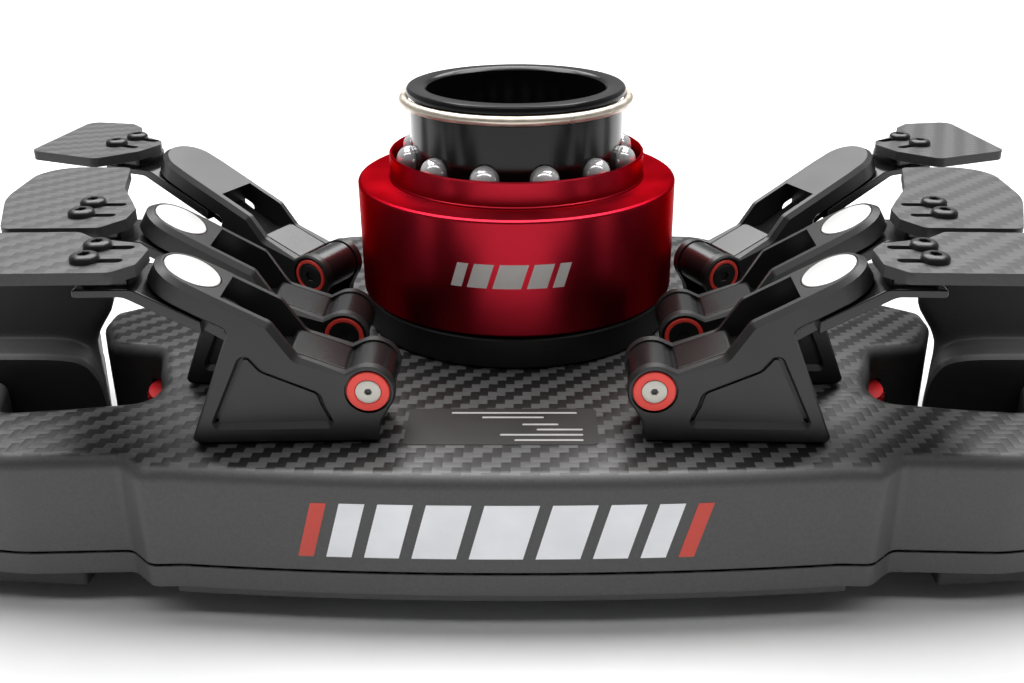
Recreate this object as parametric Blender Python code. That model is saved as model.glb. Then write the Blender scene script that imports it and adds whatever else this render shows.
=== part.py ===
"""Formula-style racing wheel for a driving simulator, lying on its front face.

Every size below is in millimetres and is turned into metres when a mesh is made.
+Z is the steering axis, pointing from the driver towards the wheel base, -Y is the wheel's
top edge, and the two halves mirror each other in X. The origin lies on the steering axis, on
the flat rear face of the housing, and the grips rest on a surface 36 mm below it.
"""

import math
from collections import namedtuple

import bmesh
import bpy
from mathutils import Vector

MM = 0.001
GAP = 0.3                     # clearance between touching pieces

# Heights above the housing's flat rear face.
FLOOR = -36.0                 # surface that the grips rest on
SHELL_FOOT = -22.0
PLATE_TOP = SHELL_FOOT - GAP
PLATE_FOOT = PLATE_TOP - 5.0
FRONT = PLATE_FOOT - GAP      # where the pieces on the front plate start
SHELL_WALL = 2.4
RIM_ROUND = 3.0

# Edges of the housing and the grips.
NEAR_EDGE = -86.0
FAR_EDGE = 60.0
GRIP_NEAR_END = -42.0         # where the housing's shoulders stop and the grips begin
GRIP_FAR_END = 39.0
HALF_WIDTH = 145.0

# Quick release, all on the steering axis.
SPACER_RADIUS = 38.4
SPACER_HEIGHT = 8.0
BORE_RADIUS = 21.6
TUBE_RADIUS = 25.7
TUBE_RIM_RADIUS = 26.4
TUBE_TOP = 57.8
TUBE_FLANGE_RADIUS = 30.0
TUBE_FLANGE_TOP = 12.0
SEAL_INNER, SEAL_OUTER = 16.0, 17.5  # groove for the seal in the housing at the bore's foot
SEAL_DEPTH = 0.8
GROOVE_RADIUS = 25.0
GROOVE_LOW, GROOVE_HIGH = 53.2, 56.2
SNAP_RING_RADIUS = 27.0
SNAP_RING_WIRE = 1.15
SNAP_RING_HEIGHT = 54.8
COLLAR_RADIUS = 39.0
COLLAR_SHOULDER = 35.9
LIP_RADIUS = 31.1
LIP_TOP = 42.2
LIP_BORE = 30.4
CONE_SLOPE = 0.35             # ball travel for each millimetre of collar travel
CONE_FOOT = 31.0
SPRING_CAVITY_RADIUS = 33.0
SPRING_CAVITY_TOP = 29.0
BALL_COUNT = 12
BALL_RADIUS = 3.4
BALL_RING_RADIUS = 26.2
BALL_HEIGHT = 41.0
BALL_HOLE_RADIUS = 3.6
ROUND_STEPS = 36

# Paddle units: u runs outwards from the hinge pin and v along the pin.
PIN_HEIGHT = 11.4
PIN_RADIUS = 2.5
PIN_HOLE_RADIUS = 2.8
PIN_HEAD_RADIUS = 4.0
PIN_HEAD_SEAT_RADIUS = 4.7
PIN_HEAD_DEPTH = 0.9
BOSS_RADIUS = 5.4
KNUCKLE_RADIUS = 5.1
UNIT_WIDTH = 15.6
CHEEK = 2.3
ARM_TOP = 16.0                # height that the arm's top line has above the pin
HEAD_START = 27.2
HEAD_CENTRE = 33.0
HEAD_THICK = 5.0
HEAD_RADIUS = 7.6
HEAD_LIP = 0.06               # how far the head stands proud of the cheeks
PANEL_DEPTH = 1.1
LEVER_GAP = 0.5               # between the head and the lever under it
LEVER_THICK = 2.4
TIP_FOOT, TIP_TOP = 31.9, 33.6
TIP_END = 54.4
BLADE_FOOT = 36.2
BLADE_THICK = 2.4
SLOT_INNER, SLOT_OUTER = 45.7, 51.6
SLOT_HALF_WIDTH = 1.5
SLOT_V = (-5.3, 2.2)

# Each kind of unit on the right side: x and y of the pin's near end, the turn about Z, the
# arm's slope, then how much longer the arm and the lever are and how much higher the tip is.
Unit = namedtuple("Unit", "x y turn slope reach tip_reach tip_rise")
FAN = math.radians(-1.8)
UNITS = {
    "shifter": Unit(28.3, -72.0, FAN, math.radians(29.0), 0.0, 0.0, 0.0),
    "rocker": Unit(37.4, -45.0, FAN, math.radians(30.5), 0.9, 1.6, 0.3),
    "clutch": Unit(51.9, -8.0, math.radians(25.5), math.radians(25.0), 7.2, 9.6, -0.9),
}
SIDES = {"left": -1, "right": 1}

# Blade outlines on the right side: u, v and corner radius.
BLADES = {
    "shifter": [(41.5, -7.5, 1), (41.5, 1, 1), (44.2, 4.7, 1), (54, 7.8, 2), (58.5, 12, 2),
                (78, 12, 3), (82, -11.8, 6), (45.2, -11.8, 2)],
    "rocker": [(43.2, -8, 1), (43.2, -1, 1), (45.6, 4.5, 2), (50.5, 15, 4), (54.5, 32.5, 2),
               (74.8, 34, 9), (74.5, 8, 30), (66.8, -13.7, 3), (47, -13.7, 2)],
    "clutch": [(51, -8, 1), (51, 0, 1), (53.6, 3, 1), (63, 5.5, 3), (69.5, 12.5, 3),
               (75, 15, 2), (87.5, 11.5, 3), (77, -19.5, 3), (56, -18.5, 3)],
}

# Controls on the front face.
BUTTON_PLACES = {"upper": (70.0, -6.0), "middle": (66.0, 15.0), "lower": (55.0, 36.0)}
BUTTON_RADIUS = 6.7
BUTTON_HOLE_RADIUS = 7.0
BUTTON_FLANGE_RADIUS = 8.6
KNOB_PLACE = (24.0, 38.0)
KNOB_RADIUS = 11.0
KNOB_SHAFT_RADIUS = 3.0
ROLLER_PLACE = (78.8, -29.0)
ROLLER_RADIUS = 9.6
ROLLER_LOW, ROLLER_HIGH = -15.4, -8.6
SCREEN_HALF = 52.0
SCREEN_NEAR, SCREEN_FAR = -75.0, -30.0


# ---------------------------------------------------------------- materials

def material(name, colour, roughness, metallic=0.0):
    found = bpy.data.materials.get(name)
    if found:
        return found
    made = bpy.data.materials.new(name)
    made.use_nodes = True
    shader = made.node_tree.nodes["Principled BSDF"]
    shader.inputs["Base Color"].default_value = (*colour, 1.0)
    shader.inputs["Roughness"].default_value = roughness
    shader.inputs["Metallic"].default_value = metallic
    return made


def carbon():
    return material("carbon_fibre", (0.03, 0.031, 0.033), 0.42)


def black_aluminium():
    return material("black_anodised_aluminium", (0.028, 0.028, 0.03), 0.36, 0.6)


def rubber():
    return material("grip_rubber", (0.035, 0.036, 0.038), 0.65)


def red_aluminium():
    return material("red_anodised_aluminium", (0.33, 0.012, 0.022), 0.3, 1.0)


def steel():
    return material("bright_steel", (0.72, 0.7, 0.66), 0.18, 1.0)


def red_plastic():
    return material("red_plastic", (0.55, 0.02, 0.02), 0.4)


def black_plastic():
    return material("black_plastic", (0.02, 0.02, 0.022), 0.45)


def circuit_board():
    return material("circuit_board", (0.01, 0.06, 0.03), 0.5)


def screen_glass():
    return material("screen_glass", (0.01, 0.01, 0.012), 0.08)


# ---------------------------------------------------------------- outlines

def arc_corner(before, corner, after, radius, steps):
    """Points of the round that replaces one corner of an outline."""
    here = Vector(corner)
    back = (Vector(before) - here)
    ahead = (Vector(after) - here)
    half = back.angle(ahead) / 2.0
    reach = radius / math.tan(half)
    reach = min(reach, 0.48 * back.length, 0.48 * ahead.length)
    radius = reach * math.tan(half)
    middle = (back.normalized() + ahead.normalized()).normalized()
    centre = here + middle * (radius / math.sin(half))
    first = here + back.normalized() * reach - centre
    last = here + ahead.normalized() * reach - centre
    turn = first.angle_signed(last)
    points = []
    for i in range(steps + 1):
        angle = -turn * i / steps
        c, s = math.cos(angle), math.sin(angle)
        points.append((centre.x + first.x * c - first.y * s, centre.y + first.x * s + first.y * c))
    return points


def rounded(corners, steps=2):
    """Outline from (x, y, radius) corners; a radius of 0 keeps the corner."""
    points = []
    count = len(corners)
    for i, (x, y, radius) in enumerate(corners):
        if radius <= 0:
            points.append((x, y))
            continue
        before, after = corners[i - 1][:2], corners[(i + 1) % count][:2]
        points.extend(arc_corner(before, (x, y), after, radius, steps))
    return points


def mirrored(half):
    """Whole outline from the corners of its right half, listed from the near to the far edge."""
    left = [(-x, y, r) for x, y, r in reversed(half) if x > 0.01]
    return [*half, *left]


def inset(outline, distance):
    """Outline moved inwards, for an outline listed anticlockwise."""
    moved = []
    count = len(outline)
    for i, here in enumerate(outline):
        before, after = Vector(outline[i - 1]), Vector(outline[(i + 1) % count])
        here = Vector(here)
        one, two = (here - before).normalized(), (after - here).normalized()
        normal_one, normal_two = Vector((-one.y, one.x)), Vector((-two.y, two.x))
        bisector = (normal_one + normal_two).normalized()
        step = distance / max(bisector.dot(normal_one), 0.5)
        moved.append(tuple(here + bisector * step))
    return moved


def circle(x, y, radius, steps):
    turns = (2.0 * math.pi * i / steps for i in range(steps))
    return [(x + radius * math.cos(a), y + radius * math.sin(a)) for a in turns]


def stadium(x0, x1, y, radius, steps=5):
    """Slot outline along X."""
    points = []
    for x, start in ((x1, -0.5), (x0, 0.5)):
        for i in range(steps + 1):
            angle = math.pi * (start + i / steps)
            points.append((x + radius * math.cos(angle), y + radius * math.sin(angle)))
    return points


# ---------------------------------------------------------------- solids as points and faces

def extrusion(outline, low, high):
    count = len(outline)
    points = [(x, y, low) for x, y in outline] + [(x, y, high) for x, y in outline]
    faces = [list(range(count))[::-1], list(range(count, 2 * count))]
    for i in range(count):
        j = (i + 1) % count
        faces.append([i, j, count + j, count + i])
    return points, faces


def loft(rows):
    """Solid through closed rows of equal length, capped at both ends."""
    count = len(rows[0])
    points = [p for row in rows for p in row]
    faces = [list(range(count))[::-1], [len(points) - count + i for i in range(count)]]
    for k in range(len(rows) - 1):
        a, b = k * count, (k + 1) * count
        for i in range(count):
            j = (i + 1) % count
            faces.append([a + i, a + j, b + j, b + i])
    return points, faces


def round_topped(outline, low, high, radius, steps=2):
    """Slab whose upper edge is rounded."""
    rows = [[(x, y, low) for x, y in outline]]
    for i in range(steps + 1):
        angle = math.pi / 2.0 * i / steps
        edge = inset(outline, radius * (1.0 - math.cos(angle)))
        z = high - radius + radius * math.sin(angle)
        rows.append([(x, y, z) for x, y in edge])
    return loft(rows)


def turned(profile, steps=ROUND_STEPS, closed=False):
    """Profile of (radius, height) spun about Z; an open profile gets a flat cap at each end."""
    points = []
    for r, z in profile:
        points.extend((x, y, z) for x, y in circle(0.0, 0.0, r, steps))
    faces = []
    rows = len(profile)
    for k in range(rows if closed else rows - 1):
        a, b = k * steps, (k + 1) % rows * steps
        for i in range(steps):
            j = (i + 1) % steps
            faces.append([a + i, a + j, b + j, b + i])
    if not closed:
        faces.append(list(range(steps))[::-1])
        faces.append([(rows - 1) * steps + i for i in range(steps)])
    return points, faces


def along_v(solid):
    """Solid drawn in (u, z) and extruded or spun about its third axis, laid along v."""
    points, faces = solid
    return [(a, c, b) for a, b, c in points], faces


# ---------------------------------------------------------------- objects

def add_object(name, solid, look, place=(0.0, 0.0, 0.0), turn=0.0, side=1):
    """Mesh object; side -1 mirrors the points in X, and turn is about Z."""
    points, faces = solid
    mesh = bpy.data.meshes.new(name)
    mesh.from_pydata([(side * x * MM, y * MM, z * MM) for x, y, z in points], [], faces)
    shape = bmesh.new()
    shape.from_mesh(mesh)
    bmesh.ops.recalc_face_normals(shape, faces=shape.faces)
    shape.to_mesh(mesh)
    shape.free()
    mesh.materials.append(look)
    mesh.shade_smooth()
    mesh.set_sharp_from_angle(angle=math.radians(32.0))
    made = bpy.data.objects.new(name, mesh)
    made.location = [value * MM for value in place]
    made.rotation_euler = (0.0, 0.0, turn)
    bpy.context.scene.collection.objects.link(made)
    return made


def combine(target, tool, operation):
    """Boolean with another object, which is left as a hidden guide."""
    change = target.modifiers.new(tool.name, "BOOLEAN")
    change.operation = operation
    change.solver = "EXACT"
    change.object = tool
    tool.hide_render = True
    tool.display_type = "WIRE"


def cut(target, name, solid, **where):
    combine(target, add_object(name, solid, black_plastic(), **where), "DIFFERENCE")


def join(target, name, solid, **where):
    combine(target, add_object(name, solid, black_plastic(), **where), "UNION")


# ---------------------------------------------------------------- housing and plate

def near_edge():
    """Right half of the bowed top edge, its step and the shoulder's corner."""
    bow = [(66.0 * i / 4, NEAR_EDGE + 3.2 * (i / 4) ** 2, 0) for i in range(5)]
    return [*bow, (72.6, -83.0, 3.4), (77.8, -78.0, 3.5), (100, -78.8, 30), (119, -76.0, 16),
            (139, -58, 14)]


def bay():
    """Inner side of the finger opening, then the thumb wing and the side down to the far edge."""
    return [(110.8, -57.6, 5), (96, -55.6, 20), (80, -52.6, 7), (79.4, -45, 8), (82.3, -36.5, 8),
            (85, -26.6, 4), (98.8, -24.4, 3.6), (104.4, -11, 5), (104.6, -3.2, 3.6), (84, 12, 9),
            (76, 40, 16), (54, FAR_EDGE - 1.0, 14), (0, FAR_EDGE, 0)]


def housing_outline():
    shoulder_end = [(141, GRIP_NEAR_END, 3.4), (114.8, GRIP_NEAR_END, 3.4)]
    return rounded(mirrored([*near_edge(), *shoulder_end, *bay()]), 3)


def back_shell():
    outline = housing_outline()
    shell = add_object("back_shell", round_topped(outline, SHELL_FOOT, 0.0, RIM_ROUND), carbon())
    hollow = extrusion(inset(outline, SHELL_WALL), SHELL_FOOT - 2.0, -SHELL_WALL)
    cut(shell, "cut_hollow", hollow)
    seal = [(SEAL_INNER, -SEAL_DEPTH), (SEAL_OUTER, -SEAL_DEPTH), (SEAL_OUTER, 1.0), (SEAL_INNER, 1.0)]
    cut(shell, "cut_seal_groove", turned(seal, ROUND_STEPS - 1, closed=True))
    for name, side in SIDES.items():
        x, y = ROLLER_PLACE
        slot = extrusion(circle(x, y, ROLLER_RADIUS + 0.5, 20), ROLLER_LOW - 0.4, ROLLER_HIGH + 0.4)
        cut(shell, f"cut_roller_{name}", slot, side=side)


def front_plate():
    """Plate over the whole front, with a tongue inside each grip."""
    stations = [-30.0, -14.0, 2.0, 18.0]
    outside = [(grip_outer(y) - 1.5, y, 0) for y in stations]
    inside = [(grip_inner(y) + 1.5, y, 0) for y in reversed(stations)]
    tongue = [*outside, (grip_outer(31.0) - 4.0, 31, 4), (grip_inner(31.0) + 4.0, 31, 4), *inside,
              (grip_inner(-40.0) + 1.5, -40, 3), (114.8, GRIP_NEAR_END, 4)]
    outline = rounded(mirrored([*near_edge(), *tongue, *bay()]))
    plate = add_object("front_plate", extrusion(outline, PLATE_FOOT, PLATE_TOP), carbon())
    low, high = PLATE_FOOT - 1.0, PLATE_TOP + 1.0
    for name, side in SIDES.items():
        for row, (x, y) in BUTTON_PLACES.items():
            hole = extrusion(circle(x, y, BUTTON_HOLE_RADIUS, 14), low, high)
            cut(plate, f"cut_button_{row}_{name}", hole, side=side)
        shaft = extrusion(circle(*KNOB_PLACE, KNOB_SHAFT_RADIUS + 0.4, 12), low, high)
        cut(plate, f"cut_knob_{name}", shaft, side=side)
    cut(plate, "cut_screen", extrusion(screen_outline(GAP), low, high))


def screen_outline(margin):
    half = SCREEN_HALF + margin
    near, far = SCREEN_NEAR - margin, SCREEN_FAR + margin
    return rounded([(half, near, 3), (half, far, 3), (-half, far, 3), (-half, near, 3)])


def display():
    edge = [(68.0 * i / 4, NEAR_EDGE + 0.8 + 3.2 * (i / 4) ** 2, 0) for i in range(5)]
    outline = rounded(mirrored([*edge, (70, -60, 4), (60, -24, 6), (0, -24, 0)]))
    bezel = add_object("display_bezel", extrusion(outline, FRONT - 1.5, FRONT), black_plastic())
    cut(bezel, "cut_bezel", extrusion(screen_outline(GAP), FRONT - 3.0, FRONT + 1.0))
    panel = extrusion(screen_outline(0.0), FRONT - 1.2, SHELL_FOOT + 6.0)
    add_object("display_panel", panel, screen_glass())


def main_board():
    corners = [(54, -24, 4), (54, 10, 4), (38, 24, 4), (-38, 24, 4), (-54, 10, 4), (-54, -24, 4)]
    low = SHELL_FOOT + 9.0
    add_object("main_board", extrusion(rounded(corners), low, low + 1.6), circuit_board())


# ---------------------------------------------------------------- grips

def ease(value, start, end):
    """0 before start, 1 after end, and a smooth step between."""
    t = min(max((value - start) / (end - start), 0.0), 1.0)
    return t * t * (3.0 - 2.0 * t)


def grip_inner(y):
    """Inner side of a grip at the housing's level; it leans away from the thumb wing."""
    return 104.5 + 0.42 * (y + 15.0)


def grip_outer(y):
    return HALF_WIDTH - 4.0 * ease(-y, 8.0, 42.0) - 3.5 * ease(y, 10.0, GRIP_FAR_END)


def tip_scale(y):
    """Shrinks the section towards the free lower end of a grip, to round it off."""
    over = max(y - 28.0, 0.0) / (GRIP_FAR_END - 28.0)
    return math.sqrt(max(1.0 - over * over, 0.09))


def grip_rear_row(y, steps=11):
    """Closed section of the rear grip half at one y: flat foot and a leaning arch."""
    scale = tip_scale(y)
    rise = 5.0 + 20.0 * ease(y, -32.0, -25.0) - 8.0 * ease(y, -20.0, 8.0) - 12.0 * ease(y, 4.0, 36.0)
    height = (rise - SHELL_FOOT) * scale
    middle = (grip_outer(y) + grip_inner(y)) / 2.0
    half = (grip_outer(y) - grip_inner(y)) / 2.0 * scale
    lean = 5.0 + 3.5 * ease(y, -32.0, -26.0) * (1.0 - ease(y, -20.0, -2.0))
    square = 1.0 - ease(y, -32.0, -22.0)
    groove = 1.4 * math.cos((y + 30.0) * 2.0 * math.pi / 23.0)
    row = []
    for i in range(steps + 1):
        angle = math.pi * i / steps
        side = math.copysign(abs(math.cos(angle)) ** (0.72 - 0.32 * square), math.cos(angle))
        arch = math.sin(angle) ** (0.62 - 0.34 * square)
        z = SHELL_FOOT + height * arch
        shift = lean * ease(z, 0.0, 14.0) - groove * max(-side, 0.0) * ease(z, 0.0, 8.0)
        row.append((middle + half * side - shift, y, z))
    return row


def grip_front_row(y, steps=9):
    """Closed section of the front grip half at one y, arched down to the resting surface."""
    scale = tip_scale(y)
    depth = 2.0 + (FRONT - FLOOR - 2.0) * ease(y, -54.0, -38.0) * scale
    middle = (grip_outer(y) + max(grip_inner(y), 99.0)) / 2.0
    half = (grip_outer(y) - max(grip_inner(y), 99.0)) / 2.0 * scale
    row = []
    for i in range(steps + 1):
        angle = math.pi * i / steps
        side = math.copysign(abs(math.cos(angle)) ** 0.7, math.cos(angle))
        row.append((middle + half * side, y, FRONT - depth * math.sin(angle) ** 0.5))
    return row


def evenly(first, last, count):
    return [first + (last - first) * i / (count - 1) for i in range(count)]


def grips():
    tip = [31.5, 34.5, 37.0, GRIP_FAR_END]
    rear_stations = [GRIP_NEAR_END + GAP, -40.2, -32.0, -29.7, -27.4, *evenly(-25.0, 28.0, 10), *tip]
    front_stations = [*evenly(GRIP_NEAR_END + 0.5, 28.0, 8), *tip]
    pad = [(88.5, -77.6, 1), (117, -75.2, 16), (137.5, -58, 12), (139.5, -40, 3), (99.5, -40, 2),
           (99.5, -41.4, 1), (113, -43, 3), (111, -58.5, 4), (88.5, -58.5, 2)]
    for name, side in SIDES.items():
        rear = loft([grip_rear_row(y) for y in rear_stations])
        add_object(f"grip_rear_{name}", rear, rubber(), side=side)
        front = loft([grip_front_row(y) for y in front_stations])
        half = add_object(f"grip_front_{name}", front, rubber(), side=side)
        cover = extrusion(rounded(pad), FRONT - 3.5, FRONT - 0.05)
        join(half, f"pad_{name}", cover, side=side)


# ---------------------------------------------------------------- quick release

def hub_spacer():
    profile = [(SPACER_RADIUS, GAP), (SPACER_RADIUS, SPACER_HEIGHT - GAP),
               (BORE_RADIUS + 1.0, SPACER_HEIGHT - GAP), (BORE_RADIUS + 1.0, GAP)]
    add_object("hub_spacer", turned(profile, closed=True), black_aluminium())


def qr_tube():
    profile = [
        (BORE_RADIUS, TUBE_TOP - 0.8), (BORE_RADIUS, SPACER_HEIGHT),
        (TUBE_FLANGE_RADIUS, SPACER_HEIGHT), (TUBE_FLANGE_RADIUS, TUBE_FLANGE_TOP),
        (TUBE_RADIUS, TUBE_FLANGE_TOP), (TUBE_RADIUS, GROOVE_LOW), (GROOVE_RADIUS, GROOVE_LOW),
        (GROOVE_RADIUS, GROOVE_HIGH), (TUBE_RIM_RADIUS, GROOVE_HIGH),
        (TUBE_RIM_RADIUS, TUBE_TOP - 0.6), (TUBE_RIM_RADIUS - 0.6, TUBE_TOP),
        (BORE_RADIUS + 0.8, TUBE_TOP)]
    tube = add_object("qr_tube", turned(profile, closed=True), black_aluminium())
    for i, (x, y) in enumerate(ball_directions()):
        drill = turned([(BALL_HOLE_RADIUS, 18.0), (BALL_HOLE_RADIUS, 30.0)], 12)
        points = [(z * x - a * y, z * y + a * x, b + BALL_HEIGHT) for a, b, z in drill[0]]
        cut(tube, f"cut_ball_{i + 1:02d}", (points, drill[1]))


def qr_snap_ring():
    wire = circle(SNAP_RING_RADIUS, SNAP_RING_HEIGHT, SNAP_RING_WIRE, 6)
    add_object("qr_snap_ring", turned(wire, closed=True), steel())


def qr_collar():
    foot = SPACER_HEIGHT + GAP
    cone_radius = LIP_BORE - CONE_SLOPE * (LIP_TOP - CONE_FOOT)
    profile = [
        (COLLAR_RADIUS - 0.6, foot), (COLLAR_RADIUS, foot + 0.6),
        (COLLAR_RADIUS, COLLAR_SHOULDER - 0.7), (COLLAR_RADIUS - 0.7, COLLAR_SHOULDER),
        (LIP_RADIUS, COLLAR_SHOULDER), (LIP_RADIUS, LIP_TOP), (LIP_BORE, LIP_TOP),
        (cone_radius, CONE_FOOT), (cone_radius, SPRING_CAVITY_TOP),
        (SPRING_CAVITY_RADIUS, SPRING_CAVITY_TOP), (SPRING_CAVITY_RADIUS, foot)]
    add_object("qr_collar", turned(profile, closed=True), red_aluminium())


def qr_spring():
    """Coil between the tube's flange and the collar's inner shoulder."""
    radius, wire, turns, sides, per_turn = 29.6, 0.8, 4, 4, 14
    low, high = TUBE_FLANGE_TOP + GAP + wire, SPRING_CAVITY_TOP - GAP - wire
    rows = []
    for i in range(turns * per_turn + 1):
        angle = 2.0 * math.pi * i / per_turn
        z = low + (high - low) * i / (turns * per_turn)
        section = circle(radius, z, wire, sides)
        rows.append([(r * math.cos(angle), r * math.sin(angle), h) for r, h in section])
    add_object("qr_spring", loft(rows), steel())


def ball_directions():
    turns = (2.0 * math.pi * (i + 0.5) / BALL_COUNT for i in range(BALL_COUNT))
    return [(math.cos(a), math.sin(a)) for a in turns]


def qr_balls():
    shape = bmesh.new()
    bmesh.ops.create_icosphere(shape, subdivisions=2, radius=BALL_RADIUS)
    points = [tuple(v.co) for v in shape.verts]
    faces = [[v.index for v in f.verts] for f in shape.faces]
    shape.free()
    for i, (x, y) in enumerate(ball_directions()):
        place = (x * BALL_RING_RADIUS, y * BALL_RING_RADIUS, BALL_HEIGHT)
        add_object(f"qr_ball_{i + 1:02d}", (points, faces), steel(), place=place)


# ---------------------------------------------------------------- paddle units

def unit_place(kind, side):
    """Where a unit's pin is halfway along its length, and the unit's turn about Z."""
    unit = UNITS[kind]
    half = UNIT_WIDTH / 2.0
    middle = unit.x - half * math.sin(unit.turn), unit.y + half * math.cos(unit.turn)
    return {"place": (side * middle[0], middle[1], 0.0), "turn": side * unit.turn, "side": side}


def arm_line(unit, u, drop=0.0):
    """Height of the arm's top line at u, less a drop measured square to the arm."""
    return ARM_TOP + u * math.tan(unit.slope) - drop / math.cos(unit.slope)


def arm_reaches(unit, height, drop):
    """The u at which a line below the arm's top line reaches a height."""
    return (height - ARM_TOP + drop / math.cos(unit.slope)) / math.tan(unit.slope)


def cheek_outline(unit):
    """Side plate of the bracket in (u, z): boss, foot, outer edge and the arm's inner end."""
    boss = [(BOSS_RADIUS * math.cos(a), PIN_HEIGHT + BOSS_RADIUS * math.sin(a))
            for a in (math.radians(60 + 20 * i) for i in range(9))]
    foot = [(-2.4, 5.0), (-1.3, GAP)]
    end = 31.0 + unit.reach
    under, over = HEAD_THICK - HEAD_LIP, HEAD_LIP
    edge = rounded([(-1.3, GAP, 0), (36.1, GAP, 1.2), (26.2, arm_line(unit, 26.2, under), 1.5),
                    (end, arm_line(unit, end, under), 0), (end, arm_line(unit, end, over), 0),
                    (18.0, arm_line(unit, 18.0, over), 2.5), (13.5, 18.9, 3.0), (4.4, 15.3, 0)])
    return boss + foot + edge[1:]


def head_solid(unit):
    """Flat head that lies along the arm, with a round outer end under the magnet."""
    c, s = math.cos(unit.slope), math.sin(unit.slope)
    start, centre = HEAD_START / c, (HEAD_CENTRE + unit.reach) / c
    end = [(centre + HEAD_RADIUS * math.cos(a), HEAD_RADIUS * math.sin(a))
           for a in (math.radians(-90 + 20 * i) for i in range(10))]
    half = UNIT_WIDTH / 2.0 + HEAD_LIP
    outline = [(start, -half), (centre - 4.0, -half), *end, (centre - 4.0, half), (start, half)]
    points, faces = extrusion(outline, -HEAD_THICK, 0.0)
    tilted = [(a * c - n * s, v, ARM_TOP + a * s + n * c) for a, v, n in points]
    return tilted, faces


def panel_cutter(face, inwards):
    """Recess in a cheek, whose outline narrows by as much as it goes in."""
    outline = rounded([(32.2, 3.4, 1), (24.8, 19.2, 1), (22.8, 19.6, 1), (20.4, 16.4, 1),
                       (9.4, 11.4, 1), (8.6, 8.4, 1), (6.4, 3.4, 1)], 1)
    rows = []
    for depth in (-0.4, PANEL_DEPTH):
        rows.append([(u, z, face + inwards * depth) for u, z in inset(outline, depth)])
    return along_v(loft(rows))


def add_bracket(name, kind, side):
    where = unit_place(kind, side)
    unit = UNITS[kind]
    half = UNIT_WIDTH / 2.0
    outline = cheek_outline(unit)
    bracket = add_object(name, along_v(extrusion(outline, -half, CHEEK - half)),
                         black_aluminium(), **where)
    join(bracket, f"{name}_far", along_v(extrusion(outline, half - CHEEK, half)), **where)
    join(bracket, f"{name}_head", head_solid(unit), **where)
    low = GAP + HEAD_LIP
    bridge = [(8.0, low), (35.0, low), (34.0, 3.4), (8.0, 3.4)]
    join(bracket, f"{name}_foot", along_v(extrusion(bridge, 1.0 - half, half - 1.0)), **where)
    bore = circle(0.0, PIN_HEIGHT, PIN_HOLE_RADIUS, 12)
    cut(bracket, f"{name}_bore", along_v(extrusion(bore, -half - 1.0, half + 1.0)), **where)
    seat = extrusion(circle(0.0, PIN_HEIGHT, PIN_HEAD_SEAT_RADIUS, 14),
                     -half - 1.0, PIN_HEAD_DEPTH + 0.1 - half)
    cut(bracket, f"{name}_seat", along_v(seat), **where)
    cut(bracket, f"{name}_panel_near", panel_cutter(-half, 1), **where)
    cut(bracket, f"{name}_panel_far", panel_cutter(half, -1), **where)


def add_lever(name, kind, side):
    """Knuckle, saddle and narrow arm between the cheeks, then a wide strip under the head."""
    where = unit_place(kind, side)
    unit = UNITS[kind]
    knuckle = [(KNUCKLE_RADIUS * math.cos(a), PIN_HEIGHT + KNUCKLE_RADIUS * math.sin(a))
               for a in (math.radians(62 + 24.5 * i) for i in range(11))]
    over = HEAD_THICK + LEVER_GAP
    under = over + LEVER_THICK
    low, high = under - HEAD_LIP, over + HEAD_LIP
    arm = [*knuckle, (15.0, arm_line(unit, 15.0, low + 1.5)), (33.0, arm_line(unit, 33.0, low)),
           (33.0, arm_line(unit, 33.0, high)), (20.0, 18.4), (16.2, 17.9), (15.2, 20.0),
           (4.2, 15.6)]
    half = UNIT_WIDTH / 2.0 - CHEEK - GAP
    lever = add_object(name, along_v(extrusion(arm, -half, half)), black_aluminium(), **where)
    tip_low, tip_high = TIP_FOOT + unit.tip_rise, TIP_TOP + unit.tip_rise
    end = TIP_END + unit.tip_reach
    wide = [(31.0, arm_line(unit, 31.0, under)), (arm_reaches(unit, tip_low, under), tip_low),
            (end, tip_low), (end, tip_high), (arm_reaches(unit, tip_high, over), tip_high),
            (31.0, arm_line(unit, 31.0, over))]
    strip = UNIT_WIDTH / 2.0 - 0.2
    join(lever, f"{name}_strip", along_v(extrusion(wide, -strip, strip)), **where)
    inner, outer = SLOT_INNER - 1.5 + unit.tip_reach, SLOT_OUTER + 1.5 + unit.tip_reach
    pad = rounded([(inner, -6.0, 1), (outer, -6.0, 1), (outer, 4.2, 1), (inner, 4.2, 1)], 1)
    join(lever, f"{name}_pad", extrusion(pad, tip_high - 0.5, blade_foot(unit) - GAP), **where)
    bore = circle(0.0, PIN_HEIGHT, PIN_HOLE_RADIUS, 12)
    cut(lever, f"{name}_bore", along_v(extrusion(bore, -half - 1.0, half + 1.0)), **where)


def blade_foot(unit):
    return BLADE_FOOT + unit.tip_rise


def add_blade(name, kind, side):
    where = unit_place(kind, side)
    unit = UNITS[kind]
    foot = blade_foot(unit)
    blade = add_object(name, extrusion(rounded(BLADES[kind]), foot, foot + BLADE_THICK),
                       carbon(), **where)
    inner, outer = SLOT_INNER + unit.tip_reach, SLOT_OUTER + unit.tip_reach
    for i, v in enumerate(SLOT_V):
        slot = stadium(inner, outer, v, SLOT_HALF_WIDTH, 3)
        cut(blade, f"{name}_slot_{i + 1}", extrusion(slot, foot - 1.0, foot + 4.0), **where)


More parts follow.
